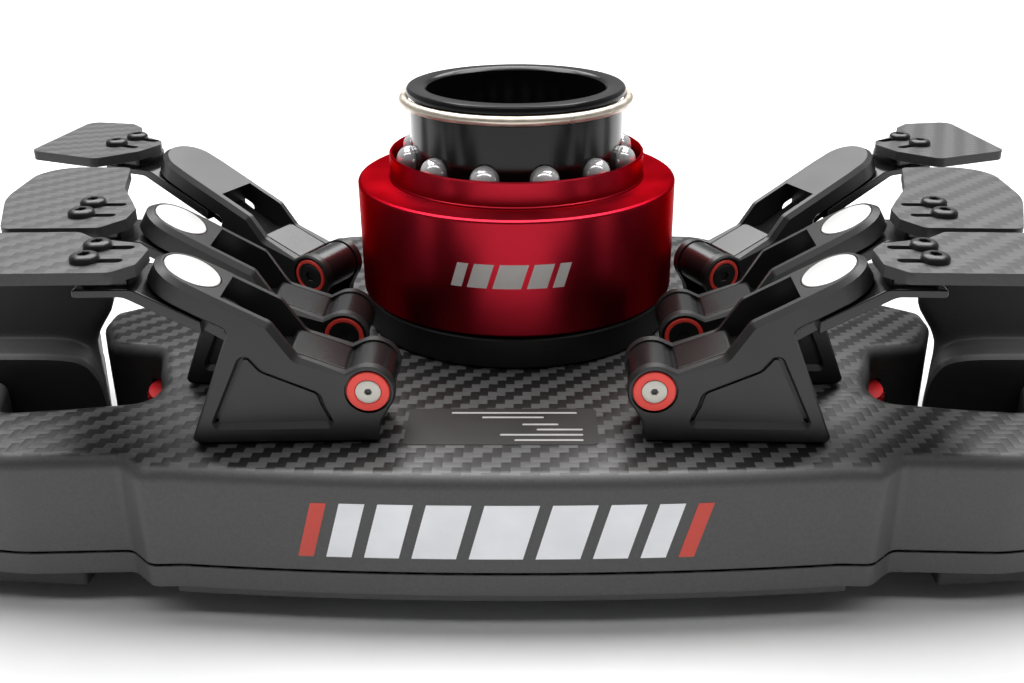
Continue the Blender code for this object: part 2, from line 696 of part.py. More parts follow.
def add_pin(name, kind, side):
    where = unit_place(kind, side)
    half = UNIT_WIDTH / 2.0
    inner = half - PIN_HEAD_DEPTH
    profile = [(PIN_HEAD_RADIUS, -half), (PIN_HEAD_RADIUS, -inner), (PIN_RADIUS, -inner),
               (PIN_RADIUS, half)]
    points, faces = along_v(turned(profile, 14))
    raised = [(u, v, z + PIN_HEIGHT) for u, v, z in points]
    add_object(name, (raised, faces), red_aluminium(), **where)


def paddle_units():
    for kind in UNITS:
        for name, side in SIDES.items():
            add_bracket(f"{kind}_bracket_{name}", kind, side)
            add_lever(f"{kind}_lever_{name}", kind, side)
            add_blade(f"{kind}_blade_{name}", kind, side)
            add_pin(f"{kind}_pin_{name}", kind, side)


# ---------------------------------------------------------------- front controls

def push_buttons():
    cap_foot = PLATE_FOOT - 4.2
    profile = [(BUTTON_RADIUS - 0.8, cap_foot), (BUTTON_RADIUS, cap_foot + 0.8),
               (BUTTON_RADIUS, SHELL_FOOT + GAP), (BUTTON_FLANGE_RADIUS, SHELL_FOOT + GAP),
               (BUTTON_FLANGE_RADIUS, SHELL_FOOT + 2.0)]
    for row, (x, y) in BUTTON_PLACES.items():
        for name, side in SIDES.items():
            add_object(f"button_{row}_{name}", turned(profile, 14), red_plastic(),
                       place=(side * x, y, 0.0))


def rotary_knobs():
    top = FRONT
    profile = [(KNOB_RADIUS - 1.2, FLOOR + 1.6), (KNOB_RADIUS, FLOOR + 2.8), (KNOB_RADIUS, top),
               (KNOB_SHAFT_RADIUS, top), (KNOB_SHAFT_RADIUS, SHELL_FOOT + 5.0)]
    for name, side in SIDES.items():
        x, y = KNOB_PLACE
        add_object(f"rotary_knob_{name}", turned(profile, 18), black_aluminium(),
                   place=(side * x, y, 0.0))


def thumb_rollers():
    low, high = ROLLER_LOW, ROLLER_HIGH
    profile = [(ROLLER_RADIUS - 0.6, low), (ROLLER_RADIUS, low + 0.6),
               (ROLLER_RADIUS, high - 0.6), (ROLLER_RADIUS - 0.6, high)]
    for name, side in SIDES.items():
        x, y = ROLLER_PLACE
        add_object(f"thumb_roller_{name}", turned(profile, 20), red_plastic(),
                   place=(side * x, y, 0.0))


# ---------------------------------------------------------------- assembly

def main():
    for old in list(bpy.data.objects):
        bpy.data.objects.remove(old, do_unlink=True)
    back_shell()
    front_plate()
    display()
    main_board()
    grips()
    hub_spacer()
    qr_tube()
    qr_snap_ring()
    qr_collar()
    qr_spring()
    qr_balls()
    paddle_units()
    push_buttons()
    rotary_knobs()
    thumb_rollers()


main()
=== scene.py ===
"""Looks of the racing wheel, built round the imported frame.

Sizes are in millimetres unless a name or comment says otherwise. The frame's origin is on the
steering axis at the housing's flat rear face, with +Z towards the wheel base and -Y towards
the wheel's top edge. Left and right mirror each other.
"""

import math
from collections import namedtuple

import bmesh
import bpy
from mathutils import Matrix, Vector


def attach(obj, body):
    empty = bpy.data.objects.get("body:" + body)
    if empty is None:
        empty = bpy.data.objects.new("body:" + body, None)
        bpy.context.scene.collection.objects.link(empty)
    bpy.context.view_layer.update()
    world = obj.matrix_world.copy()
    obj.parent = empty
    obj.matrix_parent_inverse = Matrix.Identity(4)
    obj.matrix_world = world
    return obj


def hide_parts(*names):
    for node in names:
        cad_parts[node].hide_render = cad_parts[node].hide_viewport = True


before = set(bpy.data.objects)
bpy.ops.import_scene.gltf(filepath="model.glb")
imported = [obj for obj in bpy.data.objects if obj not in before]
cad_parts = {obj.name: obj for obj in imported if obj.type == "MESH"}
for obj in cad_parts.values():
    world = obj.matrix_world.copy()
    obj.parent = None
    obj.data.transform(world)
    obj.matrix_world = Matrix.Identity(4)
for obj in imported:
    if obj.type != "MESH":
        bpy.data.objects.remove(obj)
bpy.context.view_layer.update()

MM = 0.001
GAP = 0.3
SIDES = {"left": -1, "right": 1}

FLOOR = -36.0
SHELL_FOOT = -22.0
PLATE_TOP = SHELL_FOOT - GAP
PLATE_FOOT = PLATE_TOP - 5.0
FRONT = PLATE_FOOT - GAP
SHELL_WALL = 2.4
RIM_ROUND = 3.0
NEAR_EDGE = -86.0
FAR_EDGE = 60.0
GRIP_NEAR_END = -42.0
GRIP_FAR_END = 39.0
HALF_WIDTH = 145.0

PIN_HEIGHT = 11.4
PIN_HEAD_SEAT_RADIUS = 4.7
BOSS_RADIUS = 5.4
KNUCKLE_RADIUS = 5.1
UNIT_WIDTH = 15.6
CHEEK = 2.3
ARM_TOP = 16.0                # height that the arm's top line has above the pin
ARM_CHAMFER = 1.05
HEAD_START = 27.2
HEAD_CENTRE = 33.0
HEAD_THICK = 5.0
HEAD_RADIUS = 7.6
HEAD_LIP = 0.02               # how far the head stands proud of the cheeks
PANEL_DEPTH = 1.1
MAGNET_PLACE = 33.3
MAGNET_RADIUS = 5.6
LEVER_GAP = 0.5               # between the head and the lever under it
LEVER_THICK = 2.4
TIP_FOOT, TIP_TOP = 31.9, 33.6
TIP_END = 54.4
BLADE_FOOT = 36.2
BLADE_THICK = 2.4
SLOT_INNER, SLOT_OUTER = 45.7, 51.6
SLOT_V = (-5.3, 2.2)

# Each kind of unit on the right side: x and y of the pin's near end, the turn about Z, the
# arm's slope, then how much longer the arm and the lever are and how much higher the tip is.
Unit = namedtuple("Unit", "x y turn slope reach tip_reach tip_rise")
FAN = math.radians(-1.8)
UNITS = {
    "shifter": Unit(28.3, -72.0, FAN, math.radians(29.0), 0.0, 0.0, 0.0),
    "rocker": Unit(37.4, -45.0, FAN, math.radians(30.5), 0.9, 1.6, 0.3),
    "clutch": Unit(51.9, -8.0, math.radians(25.5), math.radians(25.0), 7.2, 9.6, -0.9),
}
# Blade outlines on the right side: u, v and corner radius.
BLADES = {
    "shifter": [(41.5, -7.5, 1), (41.5, 1, 1), (44.2, 4.7, 1), (54, 7.8, 2), (58.5, 12, 2),
                (78, 12, 3), (82, -11.8, 6), (45.2, -11.8, 2)],
    "rocker": [(43.2, -8, 1), (43.2, -1, 1), (45.6, 4.5, 2), (50.5, 15, 4), (54.5, 32.5, 2),
               (74.8, 34, 9), (74.5, 8, 30), (66.8, -13.7, 3), (47, -13.7, 2)],
    "clutch": [(51, -8, 1), (51, 0, 1), (53.6, 3, 1), (63, 5.5, 3), (69.5, 12.5, 3),
               (75, 15, 2), (87.5, 11.5, 3), (77, -19.5, 3), (56, -18.5, 3)],
}
BUTTON_PLACES = {"upper": (70.0, -6.0), "middle": (66.0, 15.0), "lower": (55.0, 36.0)}
KNOB_PLACE = (24.0, 38.0)
ROLLER_PLACE = (78.8, -29.0)
ROLLER_RADIUS = 9.6
ROLLER_LOW, ROLLER_HIGH = -15.4, -8.6
BUTTON_HOLE_RADIUS = 7.0
KNOB_RADIUS = 11.0
KNOB_SHAFT_RADIUS = 3.0
TICK_COUNT = 12
LAMP_Y = -80.0
LAMP_XS = [-38.0 + 76.0 * i / 11 for i in range(12)]
PLATE_SCREW_PLACES = ((76.0, -68.0), (68.5, 33.0), (40.0, 53.0), (96.0, -8.0))

COLLAR_RADIUS = 39.0
BALL_COUNT = 12
BALL_RADIUS = 3.4
BALL_HOLE_RADIUS = 3.6
BALL_RING_RADIUS = 26.2
BALL_HEIGHT = 41.0
SNAP_RING_RADIUS = 27.0
SNAP_RING_HEIGHT = 54.8
SNAP_RING_WIRE = 1.15


# ---------------------------------------------------------------- node materials

class Look:
    """One Principled material and shorthand for adding nodes to it."""

    def __init__(self, name, roughness, metallic=0.0, **sockets):
        self.material = bpy.data.materials.new(name)
        self.material.use_nodes = True
        self.tree = self.material.node_tree
        self.shader = self.tree.nodes["Principled BSDF"]
        self.put(self.shader.inputs["Roughness"], roughness)
        self.put(self.shader.inputs["Metallic"], metallic)
        for key, value in sockets.items():
            self.put(self.shader.inputs[key.replace("_", " ")], value)
        self.place = self.tree.nodes.new("ShaderNodeTexCoord").outputs["Object"]

    def put(self, socket, value):
        if isinstance(value, bpy.types.NodeSocket):
            self.tree.links.new(value, socket)
        else:
            socket.default_value = value

    def node(self, kind, settings=None, **sockets):
        made = self.tree.nodes.new("ShaderNode" + kind)
        for key, value in (settings or {}).items():
            setattr(made, key, value)
        for key, value in sockets.items():
            self.put(made.inputs[key.replace("_", " ")], value)
        return made

    def math(self, operation, *values):
        made = self.tree.nodes.new("ShaderNodeMath")
        made.operation = operation
        for socket, value in zip(made.inputs, values):
            self.put(socket, value)
        return made.outputs[0]

    def scaled(self, x, y, z):
        return self.node("Mapping", Vector=self.place, Scale=(x, y, z)).outputs["Vector"]

    def noise(self, vector, scale, detail=3.0, roughness=0.5):
        return self.node("TexNoise", Vector=vector, Scale=scale, Detail=detail,
                         Roughness=roughness).outputs["Fac"]

    def between(self, value, low, high, to_low, to_high):
        """value taken from low..high to to_low..to_high, clamped."""
        made = self.node("MapRange", Value=value, From_Min=low, From_Max=high,
                         To_Min=to_low, To_Max=to_high)
        return made.outputs["Result"]

    def mix(self, factor, one, two):
        made = self.tree.nodes.new("ShaderNodeMix")
        made.data_type = "RGBA"
        for index, value in ((0, factor), (6, one), (7, two)):
            self.put(made.inputs[index], value)
        return made.outputs[2]

    def colour(self, value):
        self.put(self.shader.inputs["Base Color"], value)

    def bump(self, height, strength, distance):
        made = self.node("Bump", Height=height, Strength=strength, Distance=distance * MM)
        self.put(self.shader.inputs["Normal"], made.outputs["Normal"])

    def vary_roughness(self, value, low, high):
        self.put(self.shader.inputs["Roughness"], self.between(value, 0.3, 0.7, low, high))


def grey(value, warm=0.0):
    return (value * (1.0 + warm), value, value * (1.0 - warm), 1.0)


TOW = 1.9                     # width of one carbon tow


def twill(look):
    """2/2 twill in X and Y: where the weft is on top, and the weave's height."""
    parts = look.node("SeparateXYZ", Vector=look.scaled(1 / (TOW * MM), 1 / (TOW * MM), 1.0))
    x, y = parts.outputs["X"], parts.outputs["Y"]
    column, row = look.math("FLOOR", x), look.math("FLOOR", y)
    step = look.math("FLOORED_MODULO", look.math("SUBTRACT", column, row), 4.0)
    weft = look.math("LESS_THAN", step, 1.5)

    def crown(value, power):
        """1 at the middle of 0..1 and 0 at both ends."""
        centred = look.math("ABSOLUTE", look.math("MULTIPLY_ADD", value, 2.0, -1.0))
        return look.math("SUBTRACT", 1.0, look.math("POWER", centred, power))

    over_weft = look.math("MULTIPLY", look.math("FLOORED_MODULO",
                                                look.math("SUBTRACT", x, row), 4.0), 0.5)
    ahead = look.math("SUBTRACT", look.math("ADD", column, 1.0), y)
    over_warp = look.math("MULTIPLY_ADD", look.math("FLOORED_MODULO", ahead, 4.0), 0.5, -1.0)
    weft_height = look.math("MULTIPLY", crown(look.math("FRACT", y), 2.4), crown(over_weft, 6.0))
    warp_height = look.math("MULTIPLY", crown(look.math("FRACT", x), 2.4), crown(over_warp, 6.0))
    height = look.node("Mix", Factor=weft, A=warp_height, B=weft_height).outputs[0]
    return weft, height


def carbon_look(name, light, dark, roughness, walls=None):
    """Satin twill whose weft tows are painted lighter than its warp tows, a painted sheen; where walls is
    given, sides and rounded rims have that plain moulded grey.
    """
    look = Look(name, roughness)
    weft, height = twill(look)
    along_x = look.noise(look.scaled(300, 7000, 300), 1.0, 2.0)
    along_y = look.noise(look.scaled(7000, 300, 300), 1.0, 2.0)
    fibre = look.node("Mix", Factor=weft, A=along_y, B=along_x).outputs[0]
    # Weft cells take the lighter tone and warp cells the darker one. This is a painted sheen standing in
    # for light reflected along the fibres; both tows are the same black fibre.
    weave_with_painted_sheen = look.mix(weft, grey(dark), grey(light))
    weave_with_painted_sheen = look.mix(look.between(fibre, 0.35, 0.65, 0.0, 0.45), weave_with_painted_sheen, grey(dark * 1.6))
    grain = look.noise(look.scaled(1, 1, 1), 1500.0, 4.0)
    if walls is None:
        look.colour(weave_with_painted_sheen)
    else:
        facing = look.tree.nodes.new("ShaderNodeTexCoord").outputs["Normal"]
        up = look.math("ABSOLUTE", look.node("SeparateXYZ", Vector=facing).outputs["Z"])
        flat = look.between(up, 0.86, 0.985, 0.0, 1.0)
        plain = look.mix(look.between(grain, 0.3, 0.7, 0.0, 1.0), grey(walls * 0.88), grey(walls * 1.12))
        look.colour(look.mix(flat, plain, weave_with_painted_sheen))
        height = look.math("MULTIPLY", height, flat)
        look.put(look.shader.inputs["Roughness"], look.between(flat, 0.0, 1.0, 0.5, roughness))
    look.bump(look.math("MULTIPLY_ADD", grain, 0.12, height), 0.35, 0.08)
    return look.material


def satin_look(name, base, roughness, metallic=0.0, grain=5000.0, spread=0.06, strength=0.08,
               **sockets):
    """Even finish with a fine blasted grain and small changes of tone and gloss."""
    look = Look(name, roughness, metallic, **sockets)
    cloud = look.noise(look.place, 90.0, 4.0)
    low = [channel * (1.0 - spread) for channel in base[:3]] + [1.0]
    high = [channel * (1.0 + spread) for channel in base[:3]] + [1.0]
    look.colour(look.mix(look.between(cloud, 0.3, 0.7, 0.0, 1.0), low, high))
    look.vary_roughness(cloud, roughness * 0.92, roughness * 1.08)
    look.bump(look.noise(look.place, grain, 3.0), strength, 0.05)
    return look.material


def turned_look(name, base, roughness, strength=0.1):
    """Metal turned on a lathe: very fine rings along Z over an even anodised tone."""
    look = Look(name, roughness, 1.0, Specular_Tint=(0.5, 0.12, 0.14, 1.0))
    rings = look.noise(look.scaled(60, 60, 22000), 1.0, 3.0)
    cloud = look.noise(look.place, 70.0, 3.0)
    low = [channel * 0.93 for channel in base[:3]] + [1.0]
    look.colour(look.mix(look.between(cloud, 0.3, 0.7, 0.0, 1.0), low, base))
    look.vary_roughness(rings, roughness * 0.85, roughness * 1.2)
    look.bump(rings, strength, 0.01)
    return look.material


def rubber_look(name, base):
    look = Look(name, 0.6)
    cells = look.node("TexVoronoi", {"feature": "DISTANCE_TO_EDGE"}, Vector=look.place, Scale=900.0)
    edge = look.between(cells.outputs["Distance"], 0.0, 0.25, 0.0, 1.0)
    cloud = look.noise(look.place, 60.0, 4.0)
    look.colour(look.mix(look.between(cloud, 0.3, 0.7, 0.0, 1.0), grey(base * 0.85), grey(base * 1.15)))
    look.vary_roughness(cloud, 0.55, 0.68)
    look.bump(edge, 0.25, 0.06)
    return look.material


def polished_look(name, base, roughness, metallic=1.0):
    look = Look(name, roughness, metallic)
    smear = look.noise(look.scaled(1, 1, 1), 260.0, 5.0)
    low = [channel * 0.94 for channel in base[:3]] + [1.0]
    look.colour(look.mix(look.between(smear, 0.35, 0.65, 0.0, 1.0), low, base))
    look.vary_roughness(smear, roughness * 0.8, roughness * 1.5)
    look.bump(look.noise(look.place, 9000.0, 2.0), 0.03, 0.01)
    return look.material


def board_look(name):
    look = Look(name, 0.45)
    cells = look.node("TexVoronoi", {"distance": "MANHATTAN"}, Vector=look.place, Scale=420.0)
    look.colour(look.mix(look.between(cells.outputs["Distance"], 0.25, 0.3, 0.0, 1.0),
                         (0.006, 0.05, 0.022, 1.0), (0.01, 0.09, 0.04, 1.0)))
    look.bump(cells.outputs["Distance"], 0.1, 0.05)
    return look.material


# The second and third numbers are the weft and warp tones; the difference between them is painted sheen.
carbon_body = carbon_look("carbon_body", 0.075, 0.004, 0.38, walls=0.055)
carbon_blade = carbon_look("carbon_blade", 0.075, 0.032, 0.42, walls=0.035)
black_metal = satin_look("black_anodised", grey(0.010), 0.38)
black_lever = satin_look("black_anodised_lever", grey(0.008), 0.26)
black_turned = satin_look("black_turned", grey(0.004), 0.2, grain=2500.0, strength=0.02,
                          Specular_IOR_Level=0.35)
black_matt = satin_look("black_matt_ring", grey(0.004), 0.5, grain=2500.0, strength=0.05)
black_moulded = satin_look("black_moulded", grey(0.035), 0.5, grain=2600.0, strength=0.2)
black_screw = satin_look("black_screw", grey(0.01), 0.3, grain=3000.0)
grip_rubber = rubber_look("grip_rubber_moulded", 0.016)
red_turned = turned_look("red_anodised_turned", (0.42, 0.014, 0.028, 1.0), 0.34, 0.03)
red_ring = satin_look("red_anodised_ring", (1.0, 0.07, 0.05, 1.0), 0.4, 0.1, strength=0.05)
ball_steel = polished_look("ball_steel", (0.92, 0.92, 0.93, 1.0), 0.12, 0.55)
wire_steel = polished_look("wire_steel", (0.72, 0.64, 0.54, 1.0), 0.32, 0.8)
magnet_steel = satin_look("magnet_nickel", (0.64, 0.64, 0.63, 1.0), 0.38, 0.6, grain=1500.0,
                          strength=0.03)
screw_steel = satin_look("screw_steel", (0.62, 0.60, 0.54, 1.0), 0.42, 0.4, grain=3000.0, strength=0.2)
red_moulded = satin_look("red_moulded", (0.62, 0.015, 0.02, 1.0), 0.38, grain=2500.0)
white_print = satin_look("white_print", (0.86, 0.87, 0.90, 1.0), 0.5, grain=3000.0, strength=0.1)
silver_print = satin_look("silver_print", (0.60, 0.57, 0.55, 1.0), 0.4, grain=3000.0, strength=0.1)
red_print = satin_look("red_print", (0.60, 0.05, 0.03, 1.0), 0.5, grain=3000.0, strength=0.1)
grey_print = satin_look("grey_print", (0.30, 0.29, 0.28, 1.0), 0.55, grain=3000.0, strength=0.1)
label_film = satin_look("label_film", (0.007, 0.005, 0.005, 1.0), 0.5, grain=1200.0, strength=0.03)
board_green = board_look("board_green")
screen_cover = satin_look("screen_cover", grey(0.004), 0.06, grain=400.0, strength=0.01,
                          Coat_Weight=0.6, Coat_Roughness=0.03)
lamp_lens = satin_look("lamp_lens", (0.35, 0.36, 0.37, 1.0), 0.15, grain=900.0, strength=0.05)


# ---------------------------------------------------------------- outlines and solids

def arc_corner(before, corner, after, radius, steps):
    here = Vector(corner)
    back, ahead = Vector(before) - here, Vector(after) - here
    half = back.angle(ahead) / 2.0
    reach = min(radius / math.tan(half), 0.48 * back.length, 0.48 * ahead.length)
    radius = reach * math.tan(half)
    middle = (back.normalized() + ahead.normalized()).normalized()
    centre = here + middle * (radius / math.sin(half))
    first = here + back.normalized() * reach - centre
    last = here + ahead.normalized() * reach - centre
    turn = first.angle_signed(last)
    points = []
    for i in range(steps + 1):
        angle = -turn * i / steps
        c, s = math.cos(angle), math.sin(angle)
        points.append((centre.x + first.x * c - first.y * s, centre.y + first.x * s + first.y * c))
    return points


def rounded(corners, steps=6):
    """Outline from (x, y, radius) corners; a radius of 0 keeps the corner."""
    points = []
    for i, (x, y, radius) in enumerate(corners):
        if radius <= 0:
            points.append((x, y))
            continue
        before, after = corners[i - 1][:2], corners[(i + 1) % len(corners)][:2]
        points.extend(arc_corner(before, (x, y), after, radius, steps))
    return points


def mirrored(half):
    return [*half, *[(-x, y, r) for x, y, r in reversed(half) if x > 0.01]]


def inset(outline, distance):
    """Outline moved inwards, for an outline listed anticlockwise."""
    moved = []
    for i, here in enumerate(outline):
        before, after = Vector(outline[i - 1]), Vector(outline[(i + 1) % len(outline)])
        here = Vector(here)
        one, two = (here - before).normalized(), (after - here).normalized()
        normal_one, normal_two = Vector((-one.y, one.x)), Vector((-two.y, two.x))
        bisector = (normal_one + normal_two).normalized()
        moved.append(tuple(here + bisector * (distance / max(bisector.dot(normal_one), 0.5))))
    return moved


def circle(x, y, radius, steps):
    turns = (2.0 * math.pi * i / steps for i in range(steps))
    return [(x + radius * math.cos(a), y + radius * math.sin(a)) for a in turns]


def stadium(x0, x1, y, radius, steps=10):
    points = []
    for x, start in ((x1, -0.5), (x0, 0.5)):
        for i in range(steps + 1):
            angle = math.pi * (start + i / steps)
            points.append((x + radius * math.cos(angle), y + radius * math.sin(angle)))
    return points


def loft(rows, closed=False):
    """Solid through closed rows of equal length, capped at both ends or joined into a ring."""
    count = len(rows[0])
    points = [p for row in rows for p in row]
    faces = [] if closed else [list(range(count))[::-1],
                               [len(points) - count + i for i in range(count)]]
    for k in range(len(rows) if closed else len(rows) - 1):
        a, b = k * count, (k + 1) % len(rows) * count
        for i in range(count):
            j = (i + 1) % count
            faces.append([a + i, a + j, b + j, b + i])
    return points, faces


def level(outline, z):
    return [(x, y, z) for x, y in outline]


def extrusion(outline, low, high):
    return loft([level(outline, low), level(outline, high)])


def turned(profile, steps=96, closed=False):
    """Profile of (radius, height) spun about Z."""
    return loft([[(x, y, z) for x, y in circle(0.0, 0.0, r, steps)] for r, z in profile], closed)


def along_v(solid):
    """Solid drawn in (u, z) and extruded along its third axis, laid along v."""
    points, faces = solid
    return [(a, c, b) for a, b, c in points], faces


def moved(solid, x=0.0, y=0.0, z=0.0):
    points, faces = solid
    return [(a + x, b + y, c + z) for a, b, c in points], faces


# ---------------------------------------------------------------- pieces

def raw_object(name, solid, side, matrix):
    points, faces = solid
    mesh = bpy.data.meshes.new(name)
    mesh.from_pydata([(side * x * MM, y * MM, z * MM) for x, y, z in points], [], faces)
    shape = bmesh.new()
    shape.from_mesh(mesh)
    bmesh.ops.recalc_face_normals(shape, faces=shape.faces)
    shape.to_mesh(mesh)
    shape.free()
    made = bpy.data.objects.new(name, mesh)
    made.matrix_world = matrix
    bpy.context.scene.collection.objects.link(made)
    return made


def piece(name, solid, look, body, slot, side=1, matrix=Matrix.Identity(4), bevel=0.0,
          segments=2, cuts=(), sharp=32.0, replaces=()):
    """Finished mesh piece: cuts taken out, edges rounded, then riding on its body."""
    made = raw_object(name, solid, side, matrix)
    tools = [raw_object(f"{name}_tool_{i}", cut, side, matrix) for i, cut in enumerate(cuts)]
    for tool in tools:
        change = made.modifiers.new(tool.name, "BOOLEAN")
        change.operation, change.solver, change.object = "DIFFERENCE", "EXACT", tool
    if bevel:
        change = made.modifiers.new("edge", "BEVEL")
        change.width, change.segments = bevel * MM, segments
        change.limit_method, change.angle_limit = "ANGLE", math.radians(sharp)
        made.data.shade_smooth()
        made.modifiers.new("normals", "WEIGHTED_NORMAL").keep_sharp = True
    if tools or bevel:
        bpy.context.view_layer.update()
        done = made.evaluated_get(bpy.context.evaluated_depsgraph_get())
        mesh = bpy.data.meshes.new_from_object(done)
        made.modifiers.clear()
        made.data = mesh
    for tool in tools:
        bpy.data.objects.remove(tool)
    if not bevel:
        made.data.shade_smooth()
        made.data.set_sharp_from_angle(angle=math.radians(sharp))
    made.data.materials.clear()
    made.data.materials.append(look)
    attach(made, body)
    if replaces:
        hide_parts(*replaces)
    return made


def dress(node, look):
    """A CAD node that is shown as it is, with a finished material."""
    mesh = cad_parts[node].data
    mesh.materials.clear()
    mesh.materials.append(look)


# ---------------------------------------------------------------- housing and plate

def wall_y(x):
    """Where the bowed top edge's wall is at x."""
    return NEAR_EDGE + 3.2 * (x / 66.0) ** 2


def near_edge():
    bow = [(66.0 * i / 16, wall_y(66.0 * i / 16), 0) for i in range(17)]
    return [*bow, (72.6, -83.0, 3.4), (77.8, -78.0, 3.5), (100, -78.8, 30), (119, -76.0, 16),
            (139, -58, 14)]


def bay():
    return [(110.8, -57.6, 5), (96, -55.6, 20), (80, -52.6, 7), (79.4, -45, 8), (82.3, -36.5, 8),
            (85, -26.6, 4), (98.8, -24.4, 3.6), (104.4, -11, 5), (104.6, -3.2, 3.6), (84, 12, 9),
            (76, 40, 16), (54, FAR_EDGE - 1.0, 14), (0, FAR_EDGE, 0)]


def shell():
    shoulder_end = [(141, GRIP_NEAR_END, 3.4), (114.8, GRIP_NEAR_END, 3.4)]
    outline = rounded(mirrored([*near_edge(), *shoulder_end, *bay()]), 8)
    inner = inset(outline, SHELL_WALL)
    lip = 0.4
    rows = [level(inner, -SHELL_WALL), level(inner, SHELL_FOOT), level(inset(outline, lip), SHELL_FOOT),
            level(outline, SHELL_FOOT + lip)]
    steps = 7
    for i in range(steps + 1):
        angle = math.pi / 2.0 * i / steps
        rows.append(level(inset(outline, RIM_ROUND * (1.0 - math.cos(angle))),
                          RIM_ROUND * (math.sin(angle) - 1.0)))
    pocket = turned([(ROLLER_RADIUS + 0.5, ROLLER_LOW - 0.4), (ROLLER_RADIUS + 0.5, ROLLER_HIGH + 0.4)], 48)
    pockets = [moved(pocket, side * ROLLER_PLACE[0], ROLLER_PLACE[1]) for side in SIDES.values()]
    seal = turned([(16.0, -0.8), (17.5, -0.8), (17.5, 1.0), (16.0, 1.0)], closed=True)
    piece("shell_moulding", loft(rows), carbon_body, "housing", "carbon_fibre", cuts=[*pockets, seal],
          replaces=["back_shell"])


def screen_outline(margin):
    half, near, far = 52.0 + margin, -75.0 - margin, -30.0 + margin
    return rounded([(half, near, 3), (half, far, 3), (-half, far, 3), (-half, near, 3)])


def plate():
    stations = [-30.0, -14.0, 2.0, 18.0]
    outside = [(grip_outer(y) - 1.5, y, 0) for y in stations]
    inside = [(grip_inner(y) + 1.5, y, 0) for y in reversed(stations)]
    tongue = [*outside, (grip_outer(31.0) - 4.0, 31, 4), (grip_inner(31.0) + 4.0, 31, 4), *inside,
              (grip_inner(-40.0) + 1.5, -40, 3), (114.8, GRIP_NEAR_END, 4)]
    outline = rounded(mirrored([*near_edge(), *tongue, *bay()]))
    low, high = PLATE_FOOT - 1.0, PLATE_TOP + 1.0
    holes = [extrusion(screen_outline(GAP), low, high)]
    for side in SIDES.values():
        holes += [extrusion(circle(side * x, y, BUTTON_HOLE_RADIUS, 48), low, high)
                  for x, y in BUTTON_PLACES.values()]
        shaft_hole = circle(side * KNOB_PLACE[0], KNOB_PLACE[1], KNOB_SHAFT_RADIUS + 0.4, 32)
        holes.append(extrusion(shaft_hole, low, high))
    piece("plate_laminate", extrusion(outline, PLATE_FOOT, PLATE_TOP), carbon_body, "housing",
          "carbon_fibre", bevel=0.45, cuts=holes, replaces=["front_plate"])


def display():
    edge = [(68.0 * i / 16, NEAR_EDGE + 0.8 + 3.2 * (i / 16) ** 2, 0) for i in range(17)]
    outline = rounded(mirrored([*edge, (70, -60, 4), (60, -24, 6), (0, -24, 0)]))
    sockets = [extrusion(circle(x, LAMP_Y, 2.1, 32), FRONT - 2.5, FRONT - 0.9) for x in LAMP_XS]
    window = extrusion(screen_outline(GAP), FRONT - 3.0, FRONT + 1.0)
    piece("screen_bezel", extrusion(outline, FRONT - 1.5, FRONT), black_moulded, "housing",
          "black_plastic", bevel=0.4, cuts=[window, *sockets], replaces=["display_bezel"])
    for i, x in enumerate(LAMP_XS):
        dome = [(2.0, FRONT - 0.9), (2.0, FRONT - 1.4), (1.7, FRONT - 1.9), (1.0, FRONT - 2.2),
                (0.2, FRONT - 2.3)]
        piece(f"rev_lamp_{i + 1:02d}", moved(turned(dome, 32), x, LAMP_Y), lamp_lens, "housing",
              "screen_glass", sharp=60.0)
    dress("display_panel", screen_cover)
    dress("main_board", board_green)


# ---------------------------------------------------------------- grips

def ease(value, start, end):
    t = min(max((value - start) / (end - start), 0.0), 1.0)
    return t * t * (3.0 - 2.0 * t)


def grip_inner(y):
    return 104.5 + 0.42 * (y + 15.0)


def grip_outer(y):
    return HALF_WIDTH - 4.0 * ease(-y, 8.0, 42.0) - 3.5 * ease(y, 10.0, GRIP_FAR_END)


def tip_scale(y):
    over = max(y - 28.0, 0.0) / (GRIP_FAR_END - 28.0)
    return math.sqrt(max(1.0 - over * over, 0.09))


def grip_rear_row(y, steps=44):
    scale = tip_scale(y)
    rise = 5.0 + 20.0 * ease(y, -32.0, -25.0) - 8.0 * ease(y, -20.0, 8.0) - 12.0 * ease(y, 4.0, 36.0)
    near_round = 1.2 * (1.0 - ease(y, GRIP_NEAR_END - 0.8, GRIP_NEAR_END + 2.0))
    height = (rise - near_round - SHELL_FOOT) * scale
    middle = (grip_outer(y) + grip_inner(y)) / 2.0
    half = (grip_outer(y) - grip_inner(y)) / 2.0 * scale - 0.6 * near_round
    lean = 5.0 + 3.5 * ease(y, -32.0, -26.0) * (1.0 - ease(y, -20.0, -2.0))
    square = 1.0 - ease(y, -32.0, -22.0)
    groove = 1.4 * math.cos((y + 30.0) * 2.0 * math.pi / 23.0)
    row = []
    for i in range(steps + 1):
        angle = math.pi * i / steps
        side = math.copysign(abs(math.cos(angle)) ** (0.72 - 0.32 * square), math.cos(angle))
        arch = math.sin(angle) ** (0.62 - 0.34 * square)
        z = SHELL_FOOT + height * arch
        shift = lean * ease(z, 0.0, 14.0) - groove * max(-side, 0.0) * ease(z, 0.0, 8.0)
        row.append((middle + half * side - shift, y, z))
    return row


def grip_front_row(y, steps=40):
    scale = tip_scale(y)
    depth = 2.0 + (FRONT - FLOOR - 2.0) * ease(y, -54.0, -38.0) * scale
    middle = (grip_outer(y) + max(grip_inner(y), 99.0)) / 2.0
    half = (grip_outer(y) - max(grip_inner(y), 99.0)) / 2.0 * scale
    row = []
    for i in range(steps + 1):
        angle = math.pi * i / steps
        side = math.copysign(abs(math.cos(angle)) ** 0.7, math.cos(angle))
        row.append((middle + half * side, y, FRONT - depth * math.sin(angle) ** 0.5))
    return row


def evenly(first, last, count):
    return [first + (last - first) * i / (count - 1) for i in range(count)]


